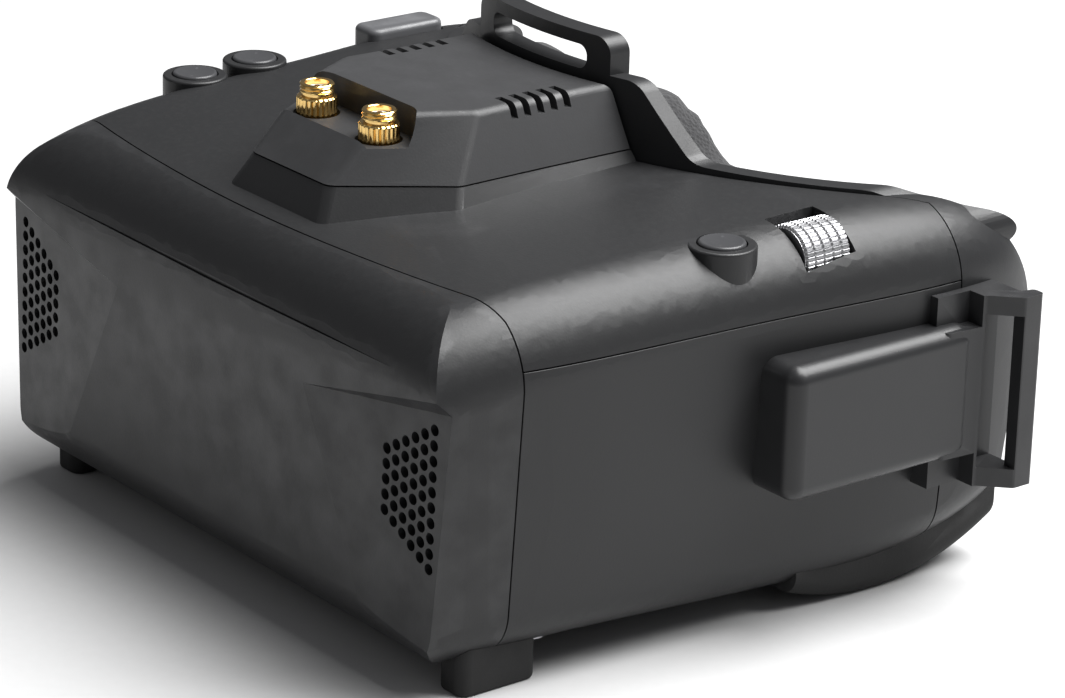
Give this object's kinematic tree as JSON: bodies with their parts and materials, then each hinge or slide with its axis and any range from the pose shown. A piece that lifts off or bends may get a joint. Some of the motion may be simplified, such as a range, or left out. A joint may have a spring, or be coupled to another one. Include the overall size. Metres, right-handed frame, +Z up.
{
  "type": "video goggles",
  "caption": "Box-type video goggles with a foam face frame, a raised receiver bay with two antenna sockets, push buttons, a thumb wheel and strap loops.",
  "frame": {"origin": "middle of the footprint, on the surface that the goggles stand on", "axes": "+Z up, the wearer looks along -Y, +X to the wearer's left"},
  "size_m": [0.1776, 0.134, 0.097],
  "materials": {
    "shell_plastic": "fine-grained charcoal moulding",
    "frame_plastic": "fine-grained dark charcoal moulding",
    "bay_plastic": "fine-grained charcoal moulding",
    "inner_plastic": "light-absorbing black moulding",
    "button_plastic": "satin grey",
    "foam": "soft black foam with a brushed face",
    "rubber_feet": "matt black rubber",
    "gold_plate": "gold-plated brass",
    "wheel_metal": "satin, knurled",
    "fin_metal": "matt extruded",
    "screw_steel": "zinc-plated",
    "pin_steel": "ground",
    "lens_clear": "clear, lightly coated",
    "display_glass": "black polished panel",
    "circuit_board": "green solder mask",
    "chip_black": "moulded black",
    "fan_plastic": "black",
    "socket_plastic": "black"
  },
  "bodies": {
    "casing": {"front_cover": "shell_plastic", "top_cover": "shell_plastic", "lower_housing": "shell_plastic", "rear_frame": "frame_plastic", "foam_pad": "foam", "receiver_board": "circuit_board", "receiver_shield": "fin_metal", "antenna_socket_left": "gold_plate", "antenna_socket_right": "gold_plate", "strap_bracket_left": "frame_plastic", "strap_bracket_right": "frame_plastic", "bracket_screws": "screw_steel", "housing_screws": "screw_steel", "front_foot_left": "rubber_feet", "front_foot_right": "rubber_feet", "cheek_rest_left": "rubber_feet", "cheek_rest_right": "rubber_feet", "dial_holder": "inner_plastic", "rocker_pin": "pin_steel", "button_board_left": "circuit_board", "button_board_right": "circuit_board", "lens": "lens_clear", "lens_frame": "inner_plastic", "light_hood": "inner_plastic", "display_panel": "display_glass", "display_tray": "inner_plastic", "main_board": "circuit_board", "board_chips": "chip_black", "heat_sink": "fin_metal", "fan_housing": "fan_plastic", "power_jack": "socket_plastic", "audio_jack": "socket_plastic"},
    "receiver_cover": {"receiver_cover": "bay_plastic"},
    "record_button": {"record_button": "button_plastic"},
    "channel_button": {"channel_button": "button_plastic"},
    "band_button": {"band_button": "button_plastic"},
    "dial_wheel": {"dial_wheel": "wheel_metal"},
    "rocker_key": {"rocker_key": "button_plastic"},
    "fan_rotor": {"fan_rotor": "fan_plastic"}
  },
  "joints": [
    {"name": "record_button_press", "type": "slide", "parent": "casing", "child": "record_button", "axis": [0, 0, -1], "range_m": [0, 0.0008], "stiffness_N_per_m": 900, "springref_m": -0.0005},
    {"name": "channel_button_press", "type": "slide", "parent": "casing", "child": "channel_button", "axis": [0, 0, -1], "range_m": [0, 0.0008], "stiffness_N_per_m": 900, "springref_m": -0.0005},
    {"name": "band_button_press", "type": "slide", "parent": "casing", "child": "band_button", "axis": [0, 0, -1], "range_m": [0, 0.0008], "stiffness_N_per_m": 900, "springref_m": -0.0005},
    {"name": "dial_spin", "type": "hinge", "parent": "casing", "child": "dial_wheel", "pos_m": [0.0674, 0.0154, 0.0684], "axis": [0, 1, 0], "continuous": true},
    {"name": "rocker_tilt", "type": "hinge", "parent": "casing", "child": "rocker_key", "pos_m": [-0.0682, 0.025, 0.072], "axis": [1, 0, 0], "range_deg": [-3, 3], "stiffness_Nm_per_rad": 0.2},
    {"name": "fan_spin", "type": "hinge", "parent": "casing", "child": "fan_rotor", "pos_m": [0.0522, -0.0582, 0.0389], "axis": [0, 1, 0], "continuous": true},
    {"name": "receiver_cover_lift", "type": "slide", "parent": "casing", "child": "receiver_cover", "axis": [0, 0, 1], "range_m": [0, 0.025]}
  ]
}
